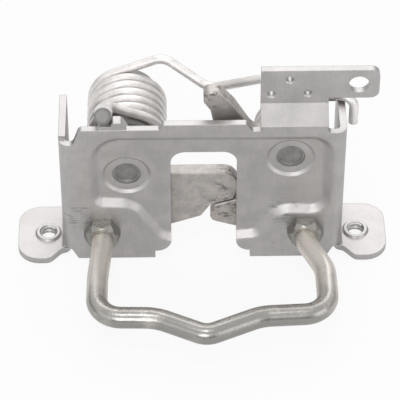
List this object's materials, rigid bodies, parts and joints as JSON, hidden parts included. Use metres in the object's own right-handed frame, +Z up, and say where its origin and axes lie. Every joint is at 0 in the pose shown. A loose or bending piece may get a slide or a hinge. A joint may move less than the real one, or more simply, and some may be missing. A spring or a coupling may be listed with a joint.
{
  "type": "hood latch",
  "caption": "Car hood latch: a pressed steel plate with mounting ears, a hook-shaped claw and a locking pawl on riveted pins, torsion springs and a bent safety bow in front.",
  "frame": {"origin": "midway between the two ear holes, on the underside of the ears", "axes": "+X to the right along the line of the ear holes, +Y to the back away from the bow, +Z up along the ear holes. The slot's mouth points down in this pose, as in the picture."},
  "size_m": [0.16, 0.1264, 0.1002],
  "materials": {
    "zinc_sheet": "satin zinc-plated pressed sheet",
    "lever_steel": "dull mottled zinc",
    "pin_steel": "turned steel",
    "bush_bronze": "plain bearing bronze",
    "spool_plastic": "moulded grey plastic",
    "spring_wire": "zinc-plated spring wire",
    "bow_nickel": "bright nickel-plated rod"
  },
  "bodies": {
    "frame": {"latch_plate": "zinc_sheet", "claw_pin": "pin_steel", "pawl_pin": "pin_steel", "claw_washer_front": "pin_steel", "claw_washer_rear": "pin_steel", "pawl_washer_front": "pin_steel", "pawl_washer_rear": "pin_steel", "lift_spool": "spool_plastic", "pawl_spool": "spool_plastic", "claw_pin_ring": "pin_steel", "pawl_pin_ring": "pin_steel", "lift_spring": "spring_wire", "pawl_spring": "spring_wire", "claw_spring": "spring_wire", "safety_bow": "bow_nickel", "bow_nut_left": "bow_nickel", "bow_nut_right": "bow_nickel"},
    "claw": {"claw": "lever_steel", "claw_bush": "bush_bronze"},
    "pawl": {"pawl": "lever_steel", "pawl_bush": "bush_bronze"}
  },
  "joints": [
    {"name": "pawl_turn", "type": "hinge", "parent": "frame", "child": "pawl", "pos_m": [0.037, -0.003, 0.0554], "axis": [0, -1, 0], "range_deg": [0, 30], "stiffness_Nm_per_rad": 0.15, "springref_deg": -17.19, "deforming": ["pawl_spring"]},
    {"name": "claw_turn", "type": "hinge", "parent": "frame", "child": "claw", "pos_m": [-0.032, -0.003, 0.0465], "axis": [0, 1, 0], "range_deg": [0, 36], "deforming": ["claw_spring"]}
  ],
  "couplings": [
    {"joint": "claw_turn", "follows": "pawl_turn", "ratio": 1.2}
  ]
}
